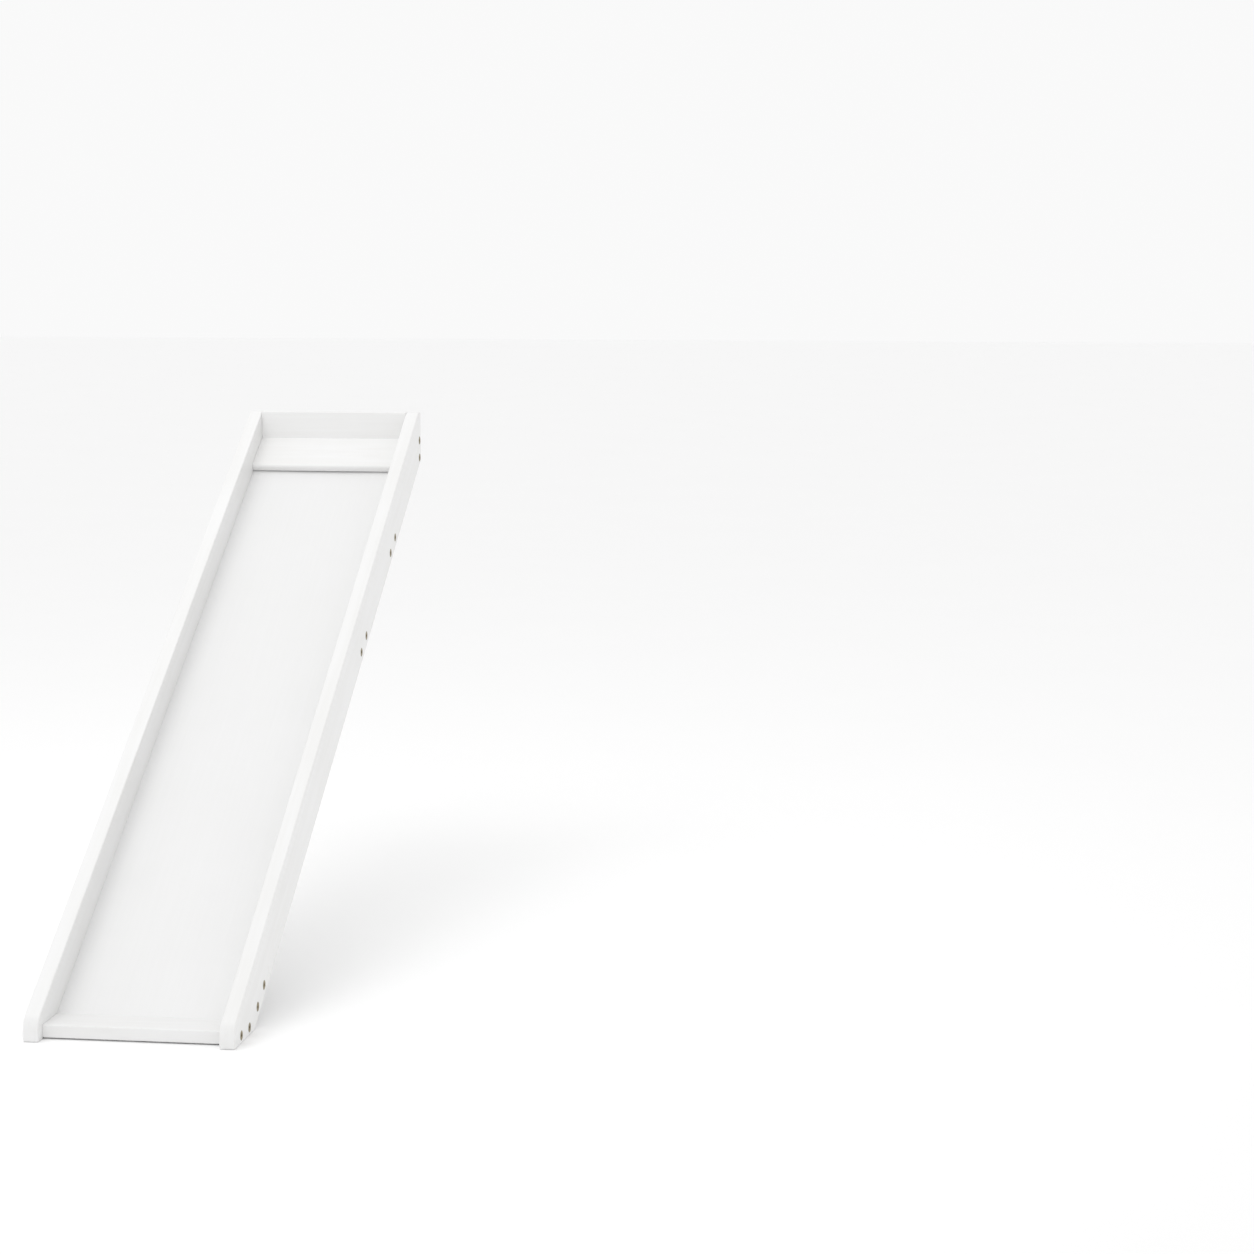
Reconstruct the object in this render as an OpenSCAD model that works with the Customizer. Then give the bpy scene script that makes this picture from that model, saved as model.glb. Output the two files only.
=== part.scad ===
// Straight slide for a low bunk bed: two plain side rails, a thin sliding panel let into them,
// boards across the foot and the top, and battens under the panel, all bolted through the rails.
// +X is to the right seen from the foot, +Y runs towards the bed and +Z is up, in millimetres.
// The origin is on the floor, under the middle of the slide.

/* [Overall] */
// Width over both side rails
slide_w = 354; // [300:1:500]
// Height of the top end above the floor
slide_h = 936; // [760:1:1150]
// Reach along the floor, from the toe to the bed
slide_run = 1494; // [1200:1:1900]

/* [Side rails] */
// Thickness of a side rail
rail_t = 26; // [22:0.5:34]
// Depth of a side rail, square to the slope
rail_d = 95; // [90:1:120]
// Height at which the line of the rails' top edge meets the toe
toe_rise = 34; // [30:1:45]
// Radius that blends the toe's front into the top edge
toe_r = 35; // [10:1:45]
// Length of the level cut on top of the rails, next to the bed
top_flat = 20; // [10:1:40]

/* [Sliding panel] */
// Thickness of the sliding panel
panel_t = 5; // [4:0.5:8]
// Depth of the sliding surface below the rails' top edge, square to the slope
chute_d = 59; // [40:1:60]
// Depth of the groove in each rail
groove_d = 8; // [5:0.5:10]
// Clearance round the panel in its grooves
groove_gap = 0.2; // [0.1:0.05:0.5]

/* [Cross boards] */
// Thickness of the foot board
foot_t = 22; // [18:1:28]
// Width of the foot board, along the floor
foot_w = 90; // [70:1:95]
// Distance from the toe back to the foot board
foot_setback = 23; // [15:1:35]
// Gap between the floor and the foot board
foot_lift = 2; // [1:0.5:6]
// Thickness of the header board that lies against the bed
header_t = 25; // [20:1:30]
// Thickness of the top board
top_board_t = 16; // [12:1:20]
// Length of the top board, along the slope
top_board_len = 88; // [80:1:120]
// Radius of the top board's nose
nose_r = 6; // [2:0.5:6]
// Gap between the ends of a cross board and the rails
end_gap = 0.1; // [0.05:0.05:0.4]

/* [Battens] */
// Number of battens under the panel. The first and the last two are bolted, the others dowelled.
batten_count = 5; // [3:1:6]
// Thickness of a batten
batten_t = 25; // [20:1:30]
// Width of a batten, along the slope
batten_w = 80; // [70:1:100]
// Distance up the slope from the toe to the middle of the first batten
first_batten = 150; // [145:1:220]
// Distance down the slope from the top end to the middle of the last batten
last_batten = 370; // [250:1:420]

/* [Fasteners] */
// Diameter of a bolt's shank
bolt_d = 6; // [5:0.5:8]
// Length of a bolt under its head
bolt_len = 66; // [55:1:80]
// Diameter of a bolt's head
bolt_head_d = 16; // [11:0.5:18]
// Thickness of a bolt's head
bolt_head_t = 3; // [2:0.25:4]
// Width across the flats of a bolt's hexagon socket
socket_w = 4; // [3:0.5:5]
// Depth of the hexagon socket
socket_depth = 1.8; // [1:0.1:2.5]
// Distance between the two bolts of a bolted batten or of the foot board
bolt_pitch = 50; // [36:1:54]
// Distance between the two bolts of the header board
header_bolt_pitch = 35; // [28:1:40]
// Distance from the rail's lower edge up to the lower bolt of the header board
header_bolt_edge = 12; // [12:0.5:16]
// Diameter of a barrel nut
barrel_d = 10; // [9:0.5:12]
// Length of a barrel nut
barrel_len = 15; // [13:0.5:18]
// Distance from the end of a board to its barrel nuts
barrel_in = 34; // [28:1:38]
// Width of the driver slot in a barrel nut
barrel_slot = 1.5; // [1:0.25:2]
// Radial gap round a shank, a head or a barrel nut in the wood
wood_gap = 0.2; // [0.1:0.05:0.4]
// Radial gap between a bolt and the thread of its nut
thread_gap = 0.05; // [0.02:0.01:0.1]

/* [Dowels and inserts] */
// Diameter of the dowels that hold the top board and the dowelled battens
dowel_d = 6; // [5:0.5:8]
// Length of a dowel
dowel_len = 30; // [24:1:40]
// Depth of the dowel hole in a rail
dowel_in_rail = 11; // [8:0.5:16]
// Distance between the two dowels at each end of a board
dowel_pitch = 50; // [40:1:56]
// Radial gap round a dowel
dowel_gap = 0.05; // [0.02:0.01:0.1]
// Outer diameter of a threaded insert in the back of the header board
insert_d = 10; // [8:0.5:12]
// Length of a threaded insert
insert_len = 13; // [10:0.5:16]
// Diameter of the insert's hole for a bed bolt
insert_bore = 6; // [5:0.5:8]
// Distance between the two inserts
insert_pitch = 200; // [150:5:210]
// Distance from the top end down to the inserts
insert_drop = 44; // [36:1:56]

/* [Hidden] */
sides = [-1, 1];
arc_steps = 12;
slope = atan((slide_h - toe_rise) / (slide_run - top_flat));
inside_w = slide_w - 2 * rail_t;
board_len = inside_w - 2 * end_gap;
rail_len = slide_run / cos(slope);
toe_face = toe_rise + toe_r * (tan(slope) - 1 / cos(slope));
floor_cut = (rail_d / cos(slope) - toe_rise) / tan(slope);
foot_top = foot_lift + foot_t;
header_front = slide_run - header_t;
batten_pitch = (rail_len - last_batten - first_batten) / (batten_count - 1);
batten_depth = chute_d + panel_t;
top_board_end = slope_to(header_front - end_gap, chute_d);
dowel_mid = top_board_end - top_board_len / 2;
header_bolt_y = slide_run - header_t / 2;
header_bolt_z = level(header_bolt_y, rail_d - header_bolt_edge);
header_low = level(slide_run, rail_d);
head_seat = slide_w / 2 - bolt_head_t;
nut_x = inside_w / 2 - end_gap - barrel_in;
bore_len = bolt_len - (rail_t - bolt_head_t) + 2;
bolted = [for (i = [1:batten_count]) if (is_bolted(i)) i];
dowelled = [for (i = [1:batten_count]) if (!is_bolted(i)) i];

$fn = 48;

// Height of a point that lies a depth below the rails' top edge, at a distance y from the toe
function level(y, depth) = toe_rise + y * tan(slope) - depth / cos(slope);
// The point [y, z] that lies s up the slope and a depth below the rails' top edge
function on_slope(s, depth) = [
    s * cos(slope) + depth * sin(slope),
    toe_rise + s * sin(slope) - depth * cos(slope)
];
// The distance up the slope at which a line at that depth reaches a distance y from the toe
function slope_to(y, depth) = (y - depth * sin(slope)) / cos(slope);
// Points [y, z] along an arc
function arc(mid, r, from, to) =
    [for (k = [0:arc_steps]) mid + r * [cos(from + (to - from) * k / arc_steps),
        sin(from + (to - from) * k / arc_steps)]];
// Two places either side of mid, along a line turned by tilt
function pair(mid, tilt, pitch) =
    [for (k = sides) mid + k * pitch / 2 * [cos(tilt), sin(tilt)]];
function batten_place(i) = on_slope(first_batten + (i - 1) * batten_pitch, batten_depth + batten_t / 2);
function is_bolted(i) = i == 1 || i > batten_count - 2;
function batten_bolts_at(i) = pair(batten_place(i), slope, bolt_pitch);
function batten_dowels_at(i) = pair(batten_place(i), slope, dowel_pitch);
function top_dowels_at() = pair(on_slope(dowel_mid, chute_d - top_board_t / 2), slope, dowel_pitch);
function foot_bolts_at() =
    pair([foot_setback + foot_w / 2, foot_lift + foot_t / 2], 0, bolt_pitch);
function header_bolts_at() =
    [for (k = [0, 1]) [header_bolt_y, header_bolt_z + k * header_bolt_pitch]];
function all_bolts_at() = concat(
    foot_bolts_at(),
    header_bolts_at(),
    [for (i = bolted) each batten_bolts_at(i)]
);
function all_dowels_at() = concat(top_dowels_at(), [for (i = dowelled) each batten_dowels_at(i)]);

// Stands a side view, drawn as [y, z], upright along the slide, w wide and centred on x
module across(w, x = 0) {
    translate([x, -slide_run / 2, 0])
        rotate([90, 0, 90])
            translate([0, 0, -w / 2])
                linear_extrude(w) children();
}

// Puts children, drawn along +X from the middle, at [y, z] of the side view
module at(place) {
    translate([0, place[0] - slide_run / 2, place[1]]) children();
}

// Side outline of a strip along the slope, from s1 to s2 and from depth d1 to d2
module strip(s1, s2, d1, d2) {
    polygon([on_slope(s1, d1), on_slope(s2, d1), on_slope(s2, d2), on_slope(s1, d2)]);
}

// Side outline of a rail: level on the floor, plumb against the bed and rounded at the toe
module rail_outline() {
    polygon(concat(
        [[0, 0]],
        arc([toe_r, toe_face], toe_r, 180, 90 + slope),
        [[slide_run - top_flat, slide_h], [slide_run, slide_h]],
        [[slide_run, level(slide_run, rail_d)], [floor_cut, 0]]
    ));
}

// Side outline of the panel: level on the foot board, plumb at the header board
module panel_outline(gap = 0) {
    intersection() {
        strip(-rail_d, rail_len, chute_d - gap, chute_d + panel_t + gap);
        translate([0, foot_top - gap]) square([header_front + gap - end_gap, slide_h]);
    }
}

// A shank hole with its flush head recess, from the outer face of the rail on side k
module rail_bolt_hole(k) {
    rotate([0, k * 90, 0]) {
        translate([0, 0, inside_w / 2 - 1])
            cylinder(h = rail_t + 2, r = bolt_d / 2 + wood_gap);
        translate([0, 0, head_seat])
            cylinder(h = bolt_head_t + 1, r = bolt_head_d / 2 + wood_gap);
    }
}

module side_rail(k) {
    difference() {
        across(rail_t, k * (slide_w - rail_t) / 2) rail_outline();
        across(2 * groove_d, k * inside_w / 2) panel_outline(groove_gap);
        for (p = all_bolts_at()) at(p) rail_bolt_hole(k);
        dowel_holes(all_dowels_at());
    }
}

module left_side_rail() {
    color("white") side_rail(-1);
}

module right_side_rail() {
    color("white") side_rail(1);
}

module slide_panel() {
    color("whitesmoke")
        across(inside_w + 2 * (groove_d - groove_gap)) panel_outline();
}

// The blind shank holes in both ends of a board, and the barrel nuts' holes square to them.
// The nuts go in from the face that tilt turns to: 0 for the underside, 90 for the back.
module board_bolt_holes(places, tilt, depth) {
    for (p = places, k = sides) at(p) {
        rotate([0, k * 90, 0])
            translate([0, 0, board_len / 2 - bore_len])
                cylinder(h = bore_len + 1, r = bolt_d / 2 + wood_gap);
        translate([k * nut_x, 0, 0])
            rotate([tilt, 0, 0])
                translate([0, 0, -depth])
                    cylinder(h = depth + barrel_len / 2 + wood_gap, r = barrel_d / 2 + wood_gap);
    }
}

module foot_board() {
    color("white") difference() {
        across(board_len)
            translate([foot_setback, foot_lift]) square([foot_w, foot_t]);
        board_bolt_holes(foot_bolts_at(), 0, foot_t);
    }
}

module header_board() {
    color("white") difference() {
        across(board_len)
            translate([header_front, header_low]) square([header_t, slide_h - header_low]);
        board_bolt_holes(header_bolts_at(), 90, header_t);
        inserts(insert_d / 2 + wood_gap);
    }
}

// Side outline of the top board: a rounded nose, and a plumb back edge at the header board
module top_board_outline() {
    top = chute_d - top_board_t;
    nose_s = top_board_end - top_board_len + nose_r;
    polygon(concat(
        arc(on_slope(nose_s, chute_d - nose_r), nose_r, 270 + slope, 180 + slope),
        arc(on_slope(nose_s, top + nose_r), nose_r, 180 + slope, 90 + slope),
        [for (depth = [top, chute_d]) on_slope(slope_to(header_front - end_gap, depth), depth)]
    ));
}

module top_board() {
    color("white") difference() {
        across(board_len) top_board_outline();
        dowel_holes(top_dowels_at());
    }
}

// A dowel or a dowel's hole on each side at every place, part in the rail and part in the board
module dowels(places, r = dowel_d / 2, len = dowel_len) {
    color("burlywood") for (k = sides, p = places)
        at(p) translate([k * (inside_w / 2 + dowel_in_rail - dowel_len / 2), 0, 0])
            rotate([0, 90, 0]) cylinder(h = len, r = r, center = true);
}

module dowel_holes(places) {
    dowels(places, dowel_d / 2 + dowel_gap, dowel_len + 1);
}

module batten(i) {
    color("white") difference() {
        across(board_len)
            strip(first_batten + (i - 1) * batten_pitch - batten_w / 2,
                first_batten + (i - 1) * batten_pitch + batten_w / 2,
                batten_depth, batten_depth + batten_t);
        if (is_bolted(i)) board_bolt_holes(batten_bolts_at(i), slope, batten_t);
        else dowel_holes(batten_dowels_at(i));
    }
}

// A bolt on each side at every place: its head is flush with the rail's outer face
module bolts(places) {
    color("darkkhaki") for (p = places, k = sides) at(p) rotate([0, k * 90, 0]) difference() {
        union() {
            translate([0, 0, head_seat]) cylinder(h = bolt_head_t, d = bolt_head_d);
            translate([0, 0, head_seat - bolt_len]) cylinder(h = bolt_len + 1, d = bolt_d);
        }
        translate([0, 0, slide_w / 2 - socket_depth])
            cylinder(h = socket_depth + 1, d = socket_w / cos(30), $fn = 6);
    }
}

// A barrel nut on each side at every place, turned as its hole is
module barrel_nuts(places, tilt) {
    color("silver") for (p = places, k = sides) at(p) translate([k * nut_x, 0, 0]) difference() {
        rotate([tilt, 0, 0]) difference() {
            cylinder(h = barrel_len, d = barrel_d, center = true);
            translate([0, 0, -barrel_len / 2])
                cube([barrel_d + 2, barrel_slot, barrel_slot * 2], center = true);
        }
        rotate([0, 90, 0]) cylinder(h = barrel_d + 2, r = bolt_d / 2 + thread_gap, center = true);
    }
}

module header_bolts() {
    bolts(header_bolts_at());
}

module header_barrel_nuts() {
    barrel_nuts(header_bolts_at(), 90);
}

module foot_bolts() {
    bolts(foot_bolts_at());
}

module foot_barrel_nuts() {
    barrel_nuts(foot_bolts_at(), 0);
}

// Two cylinders or holes in the header board's back face
module inserts(r) {
    for (k = sides) at([slide_run, slide_h - insert_drop])
        translate([k * insert_pitch / 2, 0, 0])
            rotate([90, 0, 0]) cylinder(h = insert_len, r = r);
}

module bed_inserts() {
    color("goldenrod") difference() {
        inserts(insert_d / 2);
        inserts(insert_bore / 2);
    }
}

left_side_rail();
right_side_rail();
slide_panel();
top_board();
header_board();
foot_board();
dowels(top_dowels_at());  // top_board_dowels
header_bolts();
header_barrel_nuts();
bed_inserts();
foot_bolts();
foot_barrel_nuts();
for (i = [1:batten_count]) {
    batten(i);
}
for (i = bolted) {
    bolts(batten_bolts_at(i));
    barrel_nuts(batten_bolts_at(i), slope);
}
for (i = dowelled) {
    dowels(batten_dowels_at(i));
}
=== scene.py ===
import math
from collections import namedtuple

import bmesh
import bpy
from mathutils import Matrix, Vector, geometry


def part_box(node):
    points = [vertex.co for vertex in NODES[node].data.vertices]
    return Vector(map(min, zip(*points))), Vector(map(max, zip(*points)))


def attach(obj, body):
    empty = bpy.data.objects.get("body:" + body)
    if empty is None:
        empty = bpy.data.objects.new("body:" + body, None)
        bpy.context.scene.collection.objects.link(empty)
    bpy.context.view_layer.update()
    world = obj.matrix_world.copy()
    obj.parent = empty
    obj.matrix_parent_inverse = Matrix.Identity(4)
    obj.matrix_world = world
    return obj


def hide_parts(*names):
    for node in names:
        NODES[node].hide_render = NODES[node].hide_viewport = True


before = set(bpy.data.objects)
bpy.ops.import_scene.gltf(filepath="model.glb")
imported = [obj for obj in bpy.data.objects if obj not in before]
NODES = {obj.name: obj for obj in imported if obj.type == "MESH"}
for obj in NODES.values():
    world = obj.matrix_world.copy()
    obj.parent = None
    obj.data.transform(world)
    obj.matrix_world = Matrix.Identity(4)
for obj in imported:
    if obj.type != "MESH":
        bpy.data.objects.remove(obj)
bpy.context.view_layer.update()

# Straight slide: painted boards with rounded edges, cut for their bolts, nuts, dowels and inserts.
# Metres, in the frame of the CAD model: +X right, +Y towards the bed, +Z up, the floor at z = 0.

MM = 0.001
RIGHT = Vector((1, 0, 0))
BACK = Vector((0, 1, 0))
UP = Vector((0, 0, 1))

# Edges of the boards
EDGE_R = 2.6 * MM           # rounded long edges of the rails
BOARD_R = 2.4 * MM          # rounded long edges of the header board and the battens
FOOT_R = 3 * MM             # rounded long edges of the foot board
ARRIS = 0.4 * MM            # lightly sanded ends, and the edges of the top board
CORNER_SHARE = 1.15         # radius of a rail's outline corners over EDGE_R
ROUND_STEPS = 5             # steps round a quarter turn
SHARP_TURN = math.radians(20)   # corners that turn less than this stay as they are
SAME_PLACE = 0.01 * MM      # points nearer than this are one point

# Gaps and cuts
GROOVE_IN = 8 * MM          # depth of the panel's groove in a rail
WOOD_GAP = 0.2 * MM         # gap round bolts, nuts and inserts, and round the panel
DOWEL_GAP = 0.05 * MM       # glue line round a dowel
DOWEL_END = 0.5 * MM        # glue space past a dowel's end
THREAD_GAP = 0.05 * MM      # gap between a bolt and its barrel nut
PAST_TIP = 2 * MM           # blind hole past a bolt's tip
PAST_RAIL = 2 * MM          # reach of a cutter out of a rail's inner face
PROUD = 1 * MM              # reach of a cutter out of a rail's outer face
OPEN_END = 5 * MM           # reach of a cutter out of a groove or a blind hole
NUT_WAY = 20 * MM           # length of the way in for a barrel nut
RIM = 0.3 * MM              # width of the softened rim of a bolt's recess
RIM_DEEP = 0.35 * MM        # depth of that rim

# Bolts
HEAD_T = 3 * MM
BOLT_R = 3 * MM
SHANK_R = BOLT_R - 0.1 * MM
SOCKET_W = 4 * MM           # across the flats
SOCKET_DEPTH = 1.8 * MM
SOCKET_MOUTH = 0.4 * MM     # bevel round the socket's mouth
SOCKET_CONE = 0.5 * MM      # depth of the drill point at the socket's bottom
SOCKET_POINT_R = 0.4 * MM   # its radius at the very bottom
TIP_BEVEL = 0.8 * MM
THREAD_TURNS = 24
THREAD_PITCH = 1 * MM
THREAD_DEPTH = 0.3 * MM
CREST_FROM, CREST_TO, ROOT_AT = 0.35, 0.55, 0.95    # shares of the thread's pitch
RUN_OUT = 1.6 * MM          # from the end of the thread to the full shank
HEAD_BEVEL = 0.3 * MM       # bevel under the head's rim, and the fillet's height above the shank
HEAD_ROUND = ((0.7, 0), (0.3, 0.12), (0.08, 0.45))  # the soft rim: mm under the face, mm inwards
HEAD_FLAT = 1 * MM          # from the rim to the flat of the head's face

# Barrel nuts, dowels and inserts
NUT_BEVEL = 0.5 * MM
SLOT_W = 1.5 * MM           # width and depth of the driver slot
DOWEL_BEVEL_R = 0.8 * MM
DOWEL_BEVEL_LEN = 1.2 * MM
FLUTES = 18
FLUTE_DEEP = 0.15 * MM
INSERT_GAP = 0.02 * MM      # the insert's bore over the bolt's radius
INSERT_MOUTH = 0.5 * MM     # bevel at the bore's mouth
INSERT_TIP = 1.2 * MM       # bevel at the blind end
OUTER_FROM = 1 * MM         # from the blind end to the coarse thread, in the wood
OUTER_PITCH = 1.8 * MM
OUTER_TURNS = 6
OUTER_DEPTH = 0.9 * MM
OUTER_RISE = 0.8 * MM       # from the coarse thread's root to its crest
OUTER_CREST = 0.2 * MM      # width of the crest
FLANGE_T = 0.6 * MM
FLANGE_RISE = 0.3 * MM      # from the thread's root to the flange
FLANGE_BEVEL = 0.2 * MM
INNER_TURNS = 11

# Panel
PANEL_SAG = 1.6 * MM        # sag of the panel's free upper end, at mid width
PANEL_DIP = 0.25 * MM       # sag of the panel between battens
PANEL_COLUMNS = 24
PANEL_ROWS = 160

# Meshes
CUTTER_SIDES = 48
RING_SIDES = 36
DOWEL_SIDES = 72
BOARD_SHARP = 35            # faces that turn more than this many degrees meet in a sharp edge
METAL_SHARP = 40

BATTENS = sorted(name for name in NODES if name.startswith("batten_") and name.count("_") == 1)
BOLTED = [name[:-len("_bolts")] for name in NODES if name.endswith("_bolts")]
DOWELLED = [name[:-len("_dowels")] for name in NODES if name.endswith("_dowels")]

BoltPlace = namedtuple("BoltPlace", "side outer centre length")


# Reading the frame

def linked_points(start, left):
    """The places of the vertices that edges link to start. Takes them out of the set left."""
    reach, points = [start], []
    while reach:
        vert = reach.pop()
        points.append(vert.co.copy())
        for edge in vert.link_edges:
            other = edge.other_vert(vert)
            if other in left:
                left.remove(other)
                reach.append(other)
    return points


def islands(node):
    """The (lowest, highest) corners of each separate solid in a CAD node."""
    mesh = bmesh.new()
    mesh.from_mesh(NODES[node].data)
    bmesh.ops.remove_doubles(mesh, verts=mesh.verts, dist=SAME_PLACE)
    left, found = set(mesh.verts), []
    while left:
        points = linked_points(left.pop(), left)
        lows = Vector(min(co[k] for co in points) for k in range(3))
        highs = Vector(max(co[k] for co in points) for k in range(3))
        found.append((lows, highs))
    mesh.free()
    return sorted(found, key=lambda pair: tuple(pair[0]))


def middle(pair):
    return (pair[0] + pair[1]) / 2


def bolt_places(node):
    """Where each bolt of a node lies. side is -1 for the left rail, and outer is its head's face."""
    places = []
    for lows, highs in islands(node):
        side = 1 if lows.x + highs.x > 0 else -1
        outer = max(abs(lows.x), abs(highs.x))
        places.append(BoltPlace(side, outer, middle((lows, highs)), highs.x - lows.x))
    return places


def slope_angle():
    """The slope's angle, from the line through the first and the last batten."""
    first, last = middle(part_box(BATTENS[0])), middle(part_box(BATTENS[-1]))
    return math.atan2(last.z - first.z, last.y - first.y)


SLOPE = slope_angle()
UP_SLOPE = Vector((0, math.cos(SLOPE), math.sin(SLOPE)))
OFF_SLOPE = Vector((0, -math.sin(SLOPE), math.cos(SLOPE)))

HEAD_R = (islands("foot_bolts")[0][1].y - islands("foot_bolts")[0][0].y) / 2
NUT_LOWS, NUT_HIGHS = islands("foot_barrel_nuts")[0]
NUT_R = (NUT_HIGHS.x - NUT_LOWS.x) / 2
NUT_LEN = NUT_HIGHS.z - NUT_LOWS.z
ALL_BOLTS = [place for stem in BOLTED for place in bolt_places(f"{stem}_bolts")]
ALL_DOWELS = [pair for stem in DOWELLED for pair in islands(f"{stem}_dowels")]
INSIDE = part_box("right_side_rail")[0].x    # from the middle to the rails' inner faces
NUT_AXES = {"header": -BACK, "foot": UP}    # those of the battens lie along OFF_SLOPE


# Outlines, as (y, z) points

def area_of(outline):
    pairs = zip(outline, outline[1:] + outline[:1])
    return sum(a.x * b.y - a.y * b.x for a, b in pairs) / 2


def side_outline(node):
    """The node's convex side outline, anticlockwise, with no needless points."""
    points = [Vector((v.co.y, v.co.z)) for v in NODES[node].data.vertices]
    outline = [points[i] for i in geometry.convex_hull_2d(points)]
    if area_of(outline) < 0:
        outline.reverse()
    kept = list(outline)
    for point in outline:
        i = kept.index(point)
        before, after = kept[i - 1], kept[(i + 1) % len(kept)]
        along = (after - before).normalized()
        if abs((point - before).cross(along)) < SAME_PLACE and len(kept) > 3:
            kept.remove(point)
    return kept


def directions(outline, i):
    """The outline's directions into and out of its point i."""
    into = (outline[i] - outline[i - 1]).normalized()
    out = (outline[(i + 1) % len(outline)] - outline[i]).normalized()
    return into, out


def round_corners(outline, radius):
    """Blends each sharp corner with an arc. Returns points and how far round an arc each one lies."""
    made, share = [], []
    for i, point in enumerate(outline):
        into, out = directions(outline, i)
        turn = math.atan2(into.cross(out), into.dot(out))
        if turn < SHARP_TURN:
            made.append(point.copy())
            share.append(0.0)
            continue
        inward = Vector((-into.y, into.x))
        centre = point - into * radius * math.tan(turn / 2) + inward * radius
        start = math.atan2(-inward.y, -inward.x)
        for k in range(ROUND_STEPS + 1):
            angle = start + turn * k / ROUND_STEPS
            made.append(centre + radius * Vector((math.cos(angle), math.sin(angle))))
            share.append(k / ROUND_STEPS)
    return made, share


def inset(outline, distance):
    """The outline moved inwards by a distance, with mitred corners. A negative distance grows it."""
    made = []
    for i, point in enumerate(outline):
        into, out = directions(outline, i)
        first, second = Vector((-into.y, into.x)), Vector((-out.y, out.x))
        mitre = (first + second).normalized()
        made.append(point + mitre * distance / mitre.dot(first))
    return made


# Meshes

def piece_from(name, mesh, body="root"):
    """An object made of a bmesh, riding on its body."""
    bmesh.ops.recalc_face_normals(mesh, faces=mesh.faces)
    data = bpy.data.meshes.new(name)
    mesh.to_mesh(data)
    mesh.free()
    piece = bpy.data.objects.new(name, data)
    bpy.context.scene.collection.objects.link(piece)
    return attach(piece, body) if body else piece


def rows_of(mesh, rings, marks=None):
    """Vertices for rings of points. marks are edge-wear values from 0 to 1, ring by ring."""
    layer = mesh.verts.layers.float.get("edge") or mesh.verts.layers.float.new("edge")
    rows = []
    for i, ring in enumerate(rings):
        row = [mesh.verts.new(co) for co in ring]
        for k, vert in enumerate(row):
            vert[layer] = marks[i][k] if marks else 0.0
        rows.append(row)
    return rows


def skin(mesh, rows):
    """Faces between each closed row of vertices and the next."""
    count = len(rows[0])
    for one, other in zip(rows, rows[1:]):
        for k in range(count):
            after = (k + 1) % count
            mesh.faces.new((one[k], one[after], other[after], other[k]))


def loft(mesh, rings, marks=None):
    """One closed shell through the rings, with a flat cap at each end."""
    rows = rows_of(mesh, rings, marks)
    skin(mesh, rows)
    mesh.faces.new(rows[0])
    mesh.faces.new(reversed(rows[-1]))


def tube(mesh, rings):
    """One closed shell through the rings and back to the first, with no caps."""
    rows = rows_of(mesh, rings)
    skin(mesh, rows + rows[:1])


def prism(mesh, outline, low_x, high_x, corner_r=0, end_r=0):
    """A board with that side outline from low_x to high_x, with rounded corners and rounded ends."""
    points, share = outline, [0.0] * len(outline)
    if corner_r:
        points, share = round_corners(outline, corner_r)
    angles = [0]
    if end_r:
        angles = [math.pi / 2 * (1 - k / ROUND_STEPS) for k in range(ROUND_STEPS + 1)]
    low = [(low_x + end_r * (1 - math.sin(a)), end_r * (1 - math.cos(a)), a) for a in angles]
    high = [(low_x + high_x - x, distance, a) for x, distance, a in reversed(low)]
    corner = [math.sin(math.pi * s) for s in share]
    rings, marks = [], []
    for x, distance, angle in low + high:
        rings.append([(x, p.x, p.y) for p in inset(points, distance)])
        marks.append([max(math.sin(2 * angle), value * math.cos(angle)) for value in corner])
    loft(mesh, rings, marks)


def disc(centre, axis, radius, sides=CUTTER_SIDES):
    """Points round a circle, or round the outline that radius gives for an angle."""
    turn = axis.to_track_quat("Z", "Y")
    made = []
    for k in range(sides):
        angle = 2 * math.pi * k / sides
        r = radius(angle) if callable(radius) else radius
        made.append(centre + turn @ Vector((r * math.cos(angle), r * math.sin(angle), 0)))
    return made


def turned(mesh, start, axis, profile, sides=CUTTER_SIDES):
    """A turned solid: profile lists (distance along the axis, radius)."""
    loft(mesh, [disc(start + axis * along, axis, radius, sides) for along, radius in profile])


def drill(start, axis, profile):
    """A cutter for cut(), which draws a turned solid."""
    return lambda mesh: turned(mesh, start, axis, profile)


BARE = bpy.data.materials.new("bare")    # gives both sides of a cut a material


def cut(piece, *groups):
    """Takes each group of cutters out of the piece, one group after another."""
    for group in groups:
        mesh = bmesh.new()
        for draw in group:
            draw(mesh)
        cutter = piece_from("cutter", mesh, body=None)
        cutter.data.materials.append(BARE)
        piece.data.materials.clear()
        piece.data.materials.append(BARE)
        modifier = piece.modifiers.new("cut", "BOOLEAN")
        modifier.object = cutter
        modifier.operation = "DIFFERENCE"
        modifier.solver = "EXACT"
        graph = bpy.context.evaluated_depsgraph_get()
        carved = bpy.data.meshes.new_from_object(piece.evaluated_get(graph))
        piece.modifiers.clear()
        piece.data = carved
        bpy.data.objects.remove(cutter)
    return piece


def finish_piece(piece, node, material, sharp=METAL_SHARP):
    """Shades a piece, gives it its material and lets it stand for its CAD node."""
    data = piece.data
    data.name = piece.name
    data.materials.clear()
    data.materials.append(material)
    data.polygons.foreach_set("use_smooth", [True] * len(data.polygons))
    data.set_sharp_from_angle(angle=math.radians(sharp))
    weighted = piece.modifiers.new("flat_faces", "WEIGHTED_NORMAL")
    weighted.keep_sharp = True
    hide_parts(node)
    return piece


# Shader nodes

def add(tree, kind, inputs=None, **settings):
    """A shader node with its settings, whose inputs are constants or other nodes' sockets."""
    made = tree.nodes.new(kind)
    for key, value in settings.items():
        setattr(made, key, value)
    for key, value in (inputs or {}).items():
        feed(tree, made.inputs[key], value)
    return made


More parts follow.
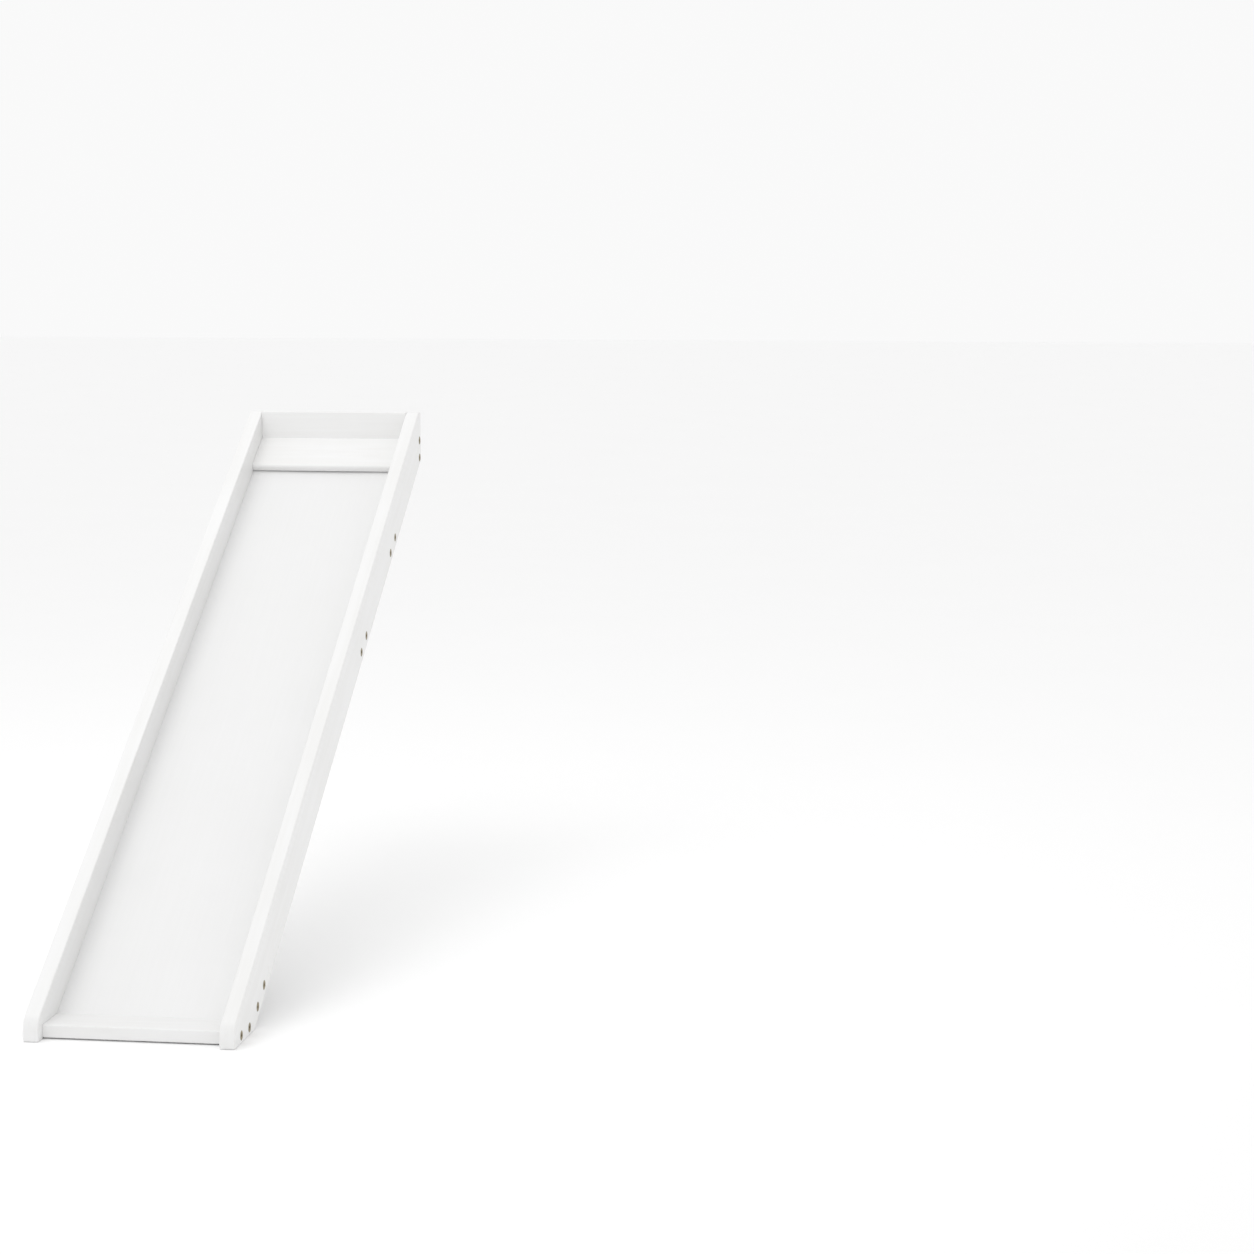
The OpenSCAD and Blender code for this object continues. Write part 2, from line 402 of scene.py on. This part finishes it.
def feed(tree, socket, value):
    """Links a socket to another node's socket, or sets it to a constant."""
    if isinstance(value, bpy.types.NodeSocket):
        tree.links.new(value, socket)
    else:
        socket.default_value = value


def new_material(name):
    material = bpy.data.materials.new(name)
    material.use_nodes = True
    tree = material.node_tree
    return material, tree, tree.nodes["Principled BSDF"]


def mixed(tree, factor, low, high):
    """A colour between low, which is a colour or a socket, and the colour high."""
    node = add(tree, "ShaderNodeMix", data_type="RGBA")
    factor_in, low_in, high_in = node.inputs[0], node.inputs[6], node.inputs[7]
    feed(tree, factor_in, factor)
    feed(tree, low_in, low if isinstance(low, bpy.types.NodeSocket) else (*low, 1))
    feed(tree, high_in, (*high, 1))
    return node.outputs[2]


def ranged(tree, value, source, target):
    """The value carried from one (low, high) range to another, and held within it."""
    node = add(tree, "ShaderNodeMapRange", {
        "Value": value, "From Min": source[0], "From Max": source[1],
        "To Min": target[0], "To Max": target[1]})
    return node.outputs["Result"]


def maths(tree, operation, first, second):
    node = add(tree, "ShaderNodeMath", operation=operation)
    feed(tree, node.inputs[0], first)
    feed(tree, node.inputs[1], second)
    return node.outputs[0]


def plus(tree, first, second):
    return maths(tree, "ADD", first, second)


def times(tree, first, second):
    return maths(tree, "MULTIPLY", first, second)


def grained(tree, along, seed, stretch):
    """Object coordinates with Y along the grain: as they are, and squeezed along it.

    The seed moves them, so that no two boards are cut from the same place.
    """
    place = add(tree, "ShaderNodeTexCoord")
    turn = (0, 0, math.pi / 2) if along == "x" else (-SLOPE, 0, 0)
    plain = add(tree, "ShaderNodeMapping", {
        "Vector": place.outputs["Object"], "Rotation": turn,
        "Location": (seed, seed * 0.7, seed * 1.3)})
    squeezed = add(tree, "ShaderNodeMapping", {
        "Vector": plain.outputs["Vector"], "Scale": (1, stretch, 1)})
    return plain.outputs["Vector"], squeezed.outputs["Vector"]


def noise(tree, vector, scale, detail=3.0, roughness=0.55, distortion=0.0):
    node = add(tree, "ShaderNodeTexNoise", {
        "Vector": vector, "Scale": scale, "Detail": detail, "Roughness": roughness,
        "Distortion": distortion})
    return node.outputs["Fac"]


def edge_wear(tree):
    """The meshes' own edge-wear values."""
    return add(tree, "ShaderNodeAttribute", attribute_name="edge").outputs["Fac"]


def bump(tree, heights, strength, distance):
    """One bump from (weight, height) pairs."""
    total = None
    for weight, height in heights:
        part = times(tree, height, weight)
        total = part if total is None else plus(tree, total, part)
    node = add(tree, "ShaderNodeBump", {"Strength": strength, "Distance": distance, "Height": total})
    return node.outputs["Normal"]


# Materials

PAINT = (0.838, 0.838, 0.836)
PAINT_THIN = (0.812, 0.810, 0.802)
PAINT_WORN = (0.640, 0.600, 0.520)
LACQUER = (0.806, 0.806, 0.806)
LACQUER_RUBBED = (0.790, 0.790, 0.787)
BRASS = (0.380, 0.325, 0.200)
BRASS_DARK = (0.130, 0.100, 0.058)
PLAIN_BRASS = (0.62, 0.50, 0.27)
PLAIN_BRASS_DARK = (0.34, 0.26, 0.13)
ZINC = (0.640, 0.650, 0.660)
ZINC_DULL = (0.430, 0.435, 0.440)
BEECH = (0.640, 0.450, 0.270)
BEECH_DARK = (0.500, 0.330, 0.185)
FLOOR = (0.985, 0.985, 0.985)
FLOOR_CLOUD = (0.972, 0.972, 0.972)


def painted_wood(name, along, seed):
    """Satin white paint over pine: the grain shows through it, and it is thinner on the edges."""
    material, tree, shader = new_material(name)
    plain, stretched = grained(tree, along, seed, stretch=0.045)
    rings = noise(tree, stretched, scale=75, detail=2.0, roughness=0.5, distortion=0.7)
    fibres = noise(tree, stretched, scale=420)
    stipple = noise(tree, plain, scale=700, detail=1.0, roughness=0.4)
    clouds = noise(tree, plain, scale=7, roughness=0.5)
    chips = noise(tree, plain, scale=90, detail=4.0, roughness=0.65)
    edge = edge_wear(tree)
    thin = plus(tree, times(tree, rings, 0.55), times(tree, clouds, 0.45))
    worn = ranged(tree, times(tree, edge, chips), (0.50, 0.72), (0.0, 0.38))
    colour = mixed(tree, ranged(tree, thin, (0.38, 0.62), (0.0, 1.0)), PAINT, PAINT_THIN)
    dull = plus(tree, fibres, times(tree, edge, -0.15))
    relief = ((0.9, rings), (0.35, fibres), (0.10, stipple))
    feed(tree, shader.inputs["Base Color"], mixed(tree, worn, colour, PAINT_WORN))
    feed(tree, shader.inputs["Roughness"], ranged(tree, dull, (0.3, 0.75), (0.34, 0.50)))
    feed(tree, shader.inputs["Normal"], bump(tree, relief, strength=0.5, distance=0.35 * MM))
    feed(tree, shader.inputs["IOR"], 1.48)
    return material


def lacquered_panel(name, seed):
    """Smooth lacquered board, rubbed along the slope where it is slid on."""
    material, tree, shader = new_material(name)
    plain, stretched = grained(tree, "slope", seed, stretch=0.02)
    streaks = noise(tree, stretched, scale=260, detail=2.0, roughness=0.5)
    peel = noise(tree, plain, scale=150, detail=1.0, roughness=0.4)
    clouds = noise(tree, plain, scale=5, detail=4.0)
    rubbed = plus(tree, ranged(tree, streaks, (0.35, 0.65), (0.0, 0.4)),
                  ranged(tree, clouds, (0.30, 0.70), (0.0, 0.6)))
    dull = plus(tree, times(tree, streaks, 0.5), clouds)
    relief = ((0.7, peel), (0.2, streaks))
    feed(tree, shader.inputs["Base Color"], mixed(tree, rubbed, LACQUER, LACQUER_RUBBED))
    feed(tree, shader.inputs["Roughness"], ranged(tree, dull, (0.5, 1.0), (0.34, 0.46)))
    feed(tree, shader.inputs["Normal"], bump(tree, relief, strength=0.3, distance=0.15 * MM))
    feed(tree, shader.inputs["IOR"], 1.50)
    return material


def plated_metal(name, bright, dull, rough, patch_scale, seed):
    """Metal with patches of tarnish, dull edges and fine scratches."""
    material, tree, shader = new_material(name)
    plain, stretched = grained(tree, "x", seed, stretch=0.06)
    patches = noise(tree, plain, scale=patch_scale, detail=4.0, roughness=0.6)
    scratches = noise(tree, stretched, scale=2600, detail=2.0, roughness=0.5)
    tarnish = plus(tree, ranged(tree, patches, (0.42, 0.66), (0.0, 0.55)),
                   times(tree, edge_wear(tree), 0.6))
    relief = ((0.5, scratches), (0.4, patches))
    roughest = rough + 0.18
    feed(tree, shader.inputs["Base Color"], mixed(tree, tarnish, bright, dull))
    feed(tree, shader.inputs["Roughness"], ranged(tree, patches, (0.3, 0.7), (rough, roughest)))
    feed(tree, shader.inputs["Normal"], bump(tree, relief, strength=0.25, distance=0.04 * MM))
    feed(tree, shader.inputs["Metallic"], 1.0)
    return material


def bare_beech(name, seed):
    """Turned beech with short dark flecks along the grain."""
    material, tree, shader = new_material(name)
    _, stretched = grained(tree, "x", seed, stretch=0.08)
    bands = noise(tree, stretched, scale=900, distortion=0.8)
    fine = noise(tree, stretched, scale=3200, detail=2.0, roughness=0.5)
    flecks = ranged(tree, fine, (0.60, 0.72), (0.0, 0.6))
    dark = plus(tree, ranged(tree, bands, (0.35, 0.7), (0.0, 0.6)), flecks)
    relief = ((0.6, bands), (0.3, flecks))
    feed(tree, shader.inputs["Base Color"], mixed(tree, dark, BEECH, BEECH_DARK))
    feed(tree, shader.inputs["Roughness"], ranged(tree, bands, (0.3, 0.7), (0.55, 0.72)))
    feed(tree, shader.inputs["Normal"], bump(tree, relief, strength=0.3, distance=0.08 * MM))
    return material


# Holes

def recess(place):
    """Cuts a flush recess for a bolt's head, with a softened rim, and the shank's way in the rail."""
    start = Vector((place.side * (place.outer + PROUD), place.centre.y, place.centre.z))
    head_r, shank_r = HEAD_R + WOOD_GAP, BOLT_R + WOOD_GAP
    through = PROUD + place.outer - INSIDE + PAST_RAIL
    profile = [(0, head_r + RIM + PROUD), (PROUD, head_r + RIM), (PROUD + RIM_DEEP, head_r),
               (PROUD + HEAD_T, head_r), (PROUD + HEAD_T, shank_r), (through, shank_r)]
    return drill(start, -place.side * RIGHT, profile)


def shank_hole(place):
    """Cuts the blind hole in a board's end that the bolt's shank goes into."""
    depth_at = place.side * (place.outer - place.length - PAST_TIP)
    start = Vector((depth_at, place.centre.y, place.centre.z))
    shank_r = BOLT_R + WOOD_GAP
    return drill(start, place.side * RIGHT, [(0, shank_r), (place.length, shank_r)])


def nut_hole(centre, axis):
    """Cuts the hole for a barrel nut, open on the side that axis points away from."""
    nut_r = NUT_R + WOOD_GAP
    start = centre + axis * (NUT_LEN / 2 + WOOD_GAP)
    return drill(start, -axis, [(0, nut_r), (NUT_LEN + NUT_WAY, nut_r)])


def dowel_hole(pair):
    lows, highs = pair
    half = (highs.x - lows.x) / 2 + DOWEL_END
    dowel_r = (highs.y - lows.y) / 2 + DOWEL_GAP
    return drill(middle(pair) - half * RIGHT, RIGHT, [(0, dowel_r), (2 * half, dowel_r)])


def insert_hole(pair):
    lows, highs = pair
    insert_r = (highs.x - lows.x) / 2 + WOOD_GAP
    start = Vector((middle(pair).x, lows.y, middle(pair).z))
    return drill(start, BACK, [(0, insert_r), (highs.y - lows.y + OPEN_END, insert_r)])


def driver_slot(place, axis, reach):
    """Cuts a driver slot across the end of a barrel nut, in line with the bolt."""
    across = RIGHT.cross(axis)
    corners = [across * SLOT_W / 2 * a + axis * SLOT_W * b
               for a, b in ((-1, -1), (1, -1), (1, 1), (-1, 1))]
    rings = [[place + x * RIGHT + corner for corner in corners] for x in (-reach, reach)]
    return lambda mesh: loft(mesh, rings)


# Boards and panel

def make_rail(name, node, seed):
    """A side rail: rounded edges, the panel's groove, flush bolt recesses and dowel holes."""
    lows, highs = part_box(node)
    side = 1 if lows.x > 0 else -1
    mesh = bmesh.new()
    prism(mesh, side_outline(node), lows.x, highs.x, EDGE_R * CORNER_SHARE, EDGE_R)
    rail = piece_from(name, mesh)
    groove = inset(side_outline("slide_panel"), -WOOD_GAP)
    left, right = sorted((side * (INSIDE - OPEN_END), side * (INSIDE + GROOVE_IN)))
    holes = [recess(place) for place in ALL_BOLTS if place.side == side]
    holes += [dowel_hole(pair) for pair in ALL_DOWELS if middle(pair).x * side > 0]
    cut(rail, [lambda mesh: prism(mesh, groove, left, right)], holes)
    return finish_piece(rail, node, painted_wood(f"paint_{name}", "slope", seed), BOARD_SHARP)


def make_board(name, node, seed, corner_r=BOARD_R):
    """A cross board with rounded long edges and the holes for its fasteners."""
    lows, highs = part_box(node)
    mesh = bmesh.new()
    prism(mesh, side_outline(node), lows.x, highs.x, corner_r, ARRIS)
    board = piece_from(name, mesh)
    stem = node.replace("_board", "")
    from_ends, from_face = [], []
    if stem in BOLTED:
        nut_axis = NUT_AXES.get(stem, OFF_SLOPE)
        from_ends += [shank_hole(place) for place in bolt_places(f"{stem}_bolts")]
        from_face += [nut_hole(middle(pair), nut_axis) for pair in islands(f"{stem}_barrel_nuts")]
    if node in DOWELLED:
        from_ends += [dowel_hole(pair) for pair in islands(f"{node}_dowels")]
    if node == "header_board":
        from_face += [insert_hole(pair) for pair in islands("bed_inserts")]
    cut(board, *[group for group in (from_ends, from_face) if group])
    return finish_piece(board, node, painted_wood(f"paint_{name}", "x", seed), BOARD_SHARP)


def panel_ends(node):
    """The (under, top) corners of the panel's low end and of its high end, in the side outline."""
    up, off = UP_SLOPE.yz, OFF_SLOPE.yz
    outline = sorted(side_outline(node), key=up.dot)
    return sorted(outline[:2], key=off.dot), sorted(outline[-2:], key=off.dot)


def panel_dip(s, rests, half_batten, nose):
    """How far the panel's middle line hangs below its true plane, s up the slope."""
    above_last = s - rests[-1] - half_batten
    if above_last > 0:
        share = min(1, above_last / (nose - rests[-1]))
        return PANEL_SAG * math.sin(share * math.pi / 2) ** 2
    below = [rest for rest in rests if rest <= s]
    above = [rest for rest in rests if rest > s]
    if not below or not above:
        return 0
    share = (s - below[-1] - half_batten) / (above[0] - below[-1] - 2 * half_batten)
    return PANEL_DIP * math.sin(math.pi * min(1, max(0, share))) ** 2


def panel_sheet(mesh, low_point, high_point, lows, highs):
    """A grid of vertices over one face of the panel, which dips where nothing holds it."""
    rests = [middle(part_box(batten)).dot(UP_SLOPE) for batten in BATTENS]
    half_batten = (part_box(BATTENS[0])[1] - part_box(BATTENS[0])[0]).y / 2
    nose = min(vert.co.dot(UP_SLOPE) for vert in NODES["top_board"].data.vertices)
    grid = []
    for j in range(PANEL_ROWS + 1):
        point = low_point.lerp(high_point, j / PANEL_ROWS)
        row = []
        for i in range(PANEL_COLUMNS + 1):
            x = lows.x + (highs.x - lows.x) * i / PANEL_COLUMNS
            place = Vector((x, point.x, point.y))
            dip = panel_dip(place.dot(UP_SLOPE), rests, half_batten, nose)
            across = 1 - (x / highs.x) ** 2
            row.append(mesh.verts.new(place - OFF_SLOPE * dip * across))
        grid.append(row)
    return grid


def make_panel(name, node):
    """The sliding panel: two grids and the strips that join their edges."""
    lows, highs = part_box(node)
    (low_under, low_top), (high_under, high_top) = panel_ends(node)
    mesh = bmesh.new()
    top = panel_sheet(mesh, low_top, high_top, lows, highs)
    under = panel_sheet(mesh, low_under, high_under, lows, highs)
    for grid in (top, under):
        for near, far in zip(grid, grid[1:]):
            for i in range(PANEL_COLUMNS):
                mesh.faces.new((near[i], near[i + 1], far[i + 1], far[i]))
    for j in (0, -1):
        for i in range(PANEL_COLUMNS):
            mesh.faces.new((top[j][i], top[j][i + 1], under[j][i + 1], under[j][i]))
    for i in (0, -1):
        for j in range(PANEL_ROWS):
            mesh.faces.new((top[j][i], top[j + 1][i], under[j + 1][i], under[j][i]))
    return finish_piece(piece_from(name, mesh), node, lacquered_panel("lacquer_panel", seed=3.1),
                        BOARD_SHARP)


# Fasteners

def hexagon(width):
    """Radius of a hexagon of that width across its flats, at an angle."""
    return lambda angle: width / 2 / math.cos((angle + math.pi / 6) % (math.pi / 3) - math.pi / 6)


def fluted(radius):
    """Radius of a fluted rod, at an angle."""
    return lambda angle: radius - FLUTE_DEEP * (0.5 - 0.5 * math.cos(FLUTES * angle))


def bolt_thread():
    """(distance from the tip, radius) along a bolt's bevelled tip, thread and shank."""
    root_r = BOLT_R - THREAD_DEPTH
    rows = [(0, BOLT_R - TIP_BEVEL), (TIP_BEVEL, root_r)]
    for k in range(THREAD_TURNS):
        along = TIP_BEVEL + k * THREAD_PITCH
        rows += [(along + CREST_FROM * THREAD_PITCH, BOLT_R),
                 (along + CREST_TO * THREAD_PITCH, BOLT_R),
                 (along + ROOT_AT * THREAD_PITCH, root_r)]
    rows.append((THREAD_TURNS * THREAD_PITCH + RUN_OUT, SHANK_R))
    return rows


def bolt_head(length):
    """(distance from the tip, radius, edge wear) over the head and into its hexagon socket."""
    seat = length - HEAD_T
    bottom = length - SOCKET_DEPTH
    rows = [(seat - HEAD_BEVEL, SHANK_R, 0.0), (seat, SHANK_R + HEAD_BEVEL, 0.0),
            (seat, HEAD_R - HEAD_BEVEL, 1.0), (seat + HEAD_BEVEL, HEAD_R, 1.0)]
    rows += [(length - down * MM, HEAD_R - inwards * MM, 1.0) for down, inwards in HEAD_ROUND]
    return rows + [(length, HEAD_R - HEAD_FLAT, 0.0),
                   (length, hexagon(SOCKET_W + 2 * SOCKET_MOUTH), 1.0),
                   (length - SOCKET_MOUTH, hexagon(SOCKET_W), 1.0),
                   (bottom, hexagon(SOCKET_W), 1.0), (bottom - SOCKET_CONE, SOCKET_POINT_R, 0.0)]


def make_bolts(name, node):
    """Flush bolts: thread, shank, flat head with a soft rim, and a hexagon socket."""
    mesh = bmesh.new()
    for place in bolt_places(node):
        axis = place.side * RIGHT
        tip = Vector((place.side * (place.outer - place.length), place.centre.y, place.centre.z))
        profile = [(along, radius, 0.0) for along, radius in bolt_thread()] + bolt_head(place.length)
        rings = [disc(tip + axis * along, axis, radius, RING_SIDES) for along, radius, _ in profile]
        loft(mesh, rings, [[wear] * RING_SIDES for _, _, wear in profile])
    return finish_piece(piece_from(name, mesh), node, BRASS_PLATE)


def make_barrel_nuts(name, node, axis):
    """Barrel nuts: bevelled cylinders with a driver slot and the bolt's cross hole."""
    mesh, holes, slots = bmesh.new(), [], []
    past_nut = 1.2 * NUT_R
    hole_r = BOLT_R + THREAD_GAP
    profile = [(0, NUT_R - NUT_BEVEL), (NUT_BEVEL, NUT_R), (NUT_LEN - NUT_BEVEL, NUT_R),
               (NUT_LEN, NUT_R - NUT_BEVEL)]
    for pair in islands(node):
        centre = middle(pair)
        start = centre - axis * NUT_LEN / 2
        turned(mesh, start, axis, profile)
        holes.append(drill(centre - past_nut * RIGHT, RIGHT, [(0, hole_r), (2 * past_nut, hole_r)]))
        slots.append(driver_slot(start, axis, 1.3 * NUT_R))
    return finish_piece(cut(piece_from(name, mesh), holes, slots), node, ZINC_PLATE)


def make_dowels(name, node):
    """Fluted dowels with bevelled ends."""
    mesh = bmesh.new()
    for lows, highs in islands(node):
        length, dowel_r = highs.x - lows.x, (highs.y - lows.y) / 2
        start = middle((lows, highs)) - length / 2 * RIGHT
        profile = [(0, dowel_r - DOWEL_BEVEL_R), (DOWEL_BEVEL_LEN, fluted(dowel_r)),
                   (length - DOWEL_BEVEL_LEN, fluted(dowel_r)), (length, dowel_r - DOWEL_BEVEL_R)]
        turned(mesh, start, RIGHT, profile, DOWEL_SIDES)
    return finish_piece(piece_from(name, mesh), node, BEECH_WOOD)


def insert_outside(length, outer_r):
    """(distance from the blind end, radius) along an insert's outer thread, to its flange."""
    root_r = outer_r - OUTER_DEPTH
    rows = [(0, outer_r - INSERT_TIP)]
    for k in range(OUTER_TURNS):
        along = OUTER_FROM + k * OUTER_PITCH
        crest = along + OUTER_RISE
        rows += [(along, root_r), (crest, outer_r), (crest + OUTER_CREST, outer_r)]
    flange = length - FLANGE_T
    return rows + [(flange - FLANGE_RISE, root_r), (flange, outer_r),
                   (length - FLANGE_BEVEL, outer_r), (length, outer_r - FLANGE_BEVEL)]


def insert_bore(length, bore_r):
    """(distance from the blind end, radius) down an insert's bore, from its soft mouth."""
    rows = [(length, bore_r + INSERT_MOUTH), (length - INSERT_MOUTH, bore_r)]
    for k in range(INNER_TURNS):
        along = length - INSERT_MOUTH - k * THREAD_PITCH
        rows += [(along - share * THREAD_PITCH, bore_r + depth)
                 for share, depth in ((0.2, 0), (0.5, THREAD_DEPTH), (0.8, 0))]
    return rows


def make_inserts(name, node):
    """Threaded inserts: a coarse outer thread and a bore with a fine one."""
    mesh = bmesh.new()
    for lows, highs in islands(node):
        centre, length = middle((lows, highs)), highs.y - lows.y
        start = Vector((centre.x, lows.y, centre.z))
        bore_r = BOLT_R + INSERT_GAP
        profile = [(0, bore_r + FLANGE_BEVEL)]
        profile += insert_outside(length, (highs.x - lows.x) / 2) + insert_bore(length, bore_r)
        tube(mesh, [disc(start + along * BACK, BACK, r, RING_SIDES) for along, r in profile])
    return finish_piece(piece_from(name, mesh), node, PLAIN_BRASS_METAL)


# The slide

make_rail("rail_left", "left_side_rail", seed=1.7)
make_rail("rail_right", "right_side_rail", seed=5.2)
make_panel("sliding_panel", "slide_panel")
make_board("board_top", "top_board", seed=2.3, corner_r=ARRIS)
make_board("board_header", "header_board", seed=4.4)
make_board("board_foot", "foot_board", seed=6.1, corner_r=FOOT_R)
for i, node in enumerate(BATTENS):
    make_board(f"board_{node}", node, seed=7.3 + 1.9 * i)

BRASS_PLATE = plated_metal("brass_plate", BRASS, BRASS_DARK, rough=0.34, patch_scale=260, seed=0.4)
ZINC_PLATE = plated_metal("zinc_plate", ZINC, ZINC_DULL, rough=0.36, patch_scale=420, seed=0.9)
PLAIN_BRASS_METAL = plated_metal("insert_brass", PLAIN_BRASS, PLAIN_BRASS_DARK,
                                 rough=0.30, patch_scale=300, seed=1.6)
BEECH_WOOD = bare_beech("beech", seed=0.3)

for stem in BOLTED:
    make_bolts(f"bolts_{stem}", f"{stem}_bolts")
    make_barrel_nuts(f"nuts_{stem}", f"{stem}_barrel_nuts", NUT_AXES.get(stem, OFF_SLOPE))
for stem in DOWELLED:
    make_dowels(f"dowels_{stem}", f"{stem}_dowels")
make_inserts("inserts_bed", "bed_inserts")


# Floor, light and camera

FLOOR_HALF = 30
WORLD_LIGHT = 0.95
KEY_PLACE = (-0.8, -0.6, 3.2)
KEY_TARGET = (0, 0.2, 0.4)
KEY_SIZE = 2.0
KEY_POWER = 19
CAMERA_PLACE = (1.459, -5.356, 1.311)
CAMERA_LENS = 87.06
CAMERA_DOWN = math.radians(7.507)
CAMERA_LEFT = math.radians(7.973)


def make_floor():
    mesh = bmesh.new()
    bmesh.ops.create_grid(mesh, x_segments=2, y_segments=2, size=FLOOR_HALF)
    floor = piece_from("floor", mesh, body=None)
    material, tree, shader = new_material("pale_floor")
    clouds = noise(tree, add(tree, "ShaderNodeTexCoord").outputs["Object"], scale=2)
    feed(tree, shader.inputs["Base Color"], mixed(tree, clouds, FLOOR, FLOOR_CLOUD))
    feed(tree, shader.inputs["Roughness"], 0.9)
    floor.data.materials.append(material)


def make_key_light():
    """One large soft light over the slide's left side."""
    lamp = bpy.data.lights.new("key", "AREA")
    lamp.shape = "SQUARE"
    lamp.size = KEY_SIZE
    lamp.energy = KEY_POWER
    light = bpy.data.objects.new("key", lamp)
    bpy.context.scene.collection.objects.link(light)
    light.location = KEY_PLACE
    light.rotation_mode = "QUATERNION"
    light.rotation_quaternion = (Vector(KEY_TARGET) - Vector(KEY_PLACE)).to_track_quat("-Z", "Y")


def make_world():
    world = bpy.data.worlds.new("studio")
    bpy.context.scene.world = world
    world.use_nodes = True
    background = world.node_tree.nodes["Background"]
    background.inputs["Color"].default_value = (1, 1, 1, 1)
    background.inputs["Strength"].default_value = WORLD_LIGHT


def make_camera():
    """Looks along the slide from above its right side, as a long lens sees it."""
    data = bpy.data.cameras.new("camera")
    data.sensor_width = 36
    data.lens = CAMERA_LENS
    camera = bpy.data.objects.new("camera", data)
    bpy.context.scene.collection.objects.link(camera)
    camera.location = CAMERA_PLACE
    camera.rotation_euler = (math.pi / 2 - CAMERA_DOWN, 0, CAMERA_LEFT)
    bpy.context.scene.camera = camera


make_floor()
make_world()
make_key_light()
make_camera()
bpy.context.scene.view_settings.view_transform = "Standard"
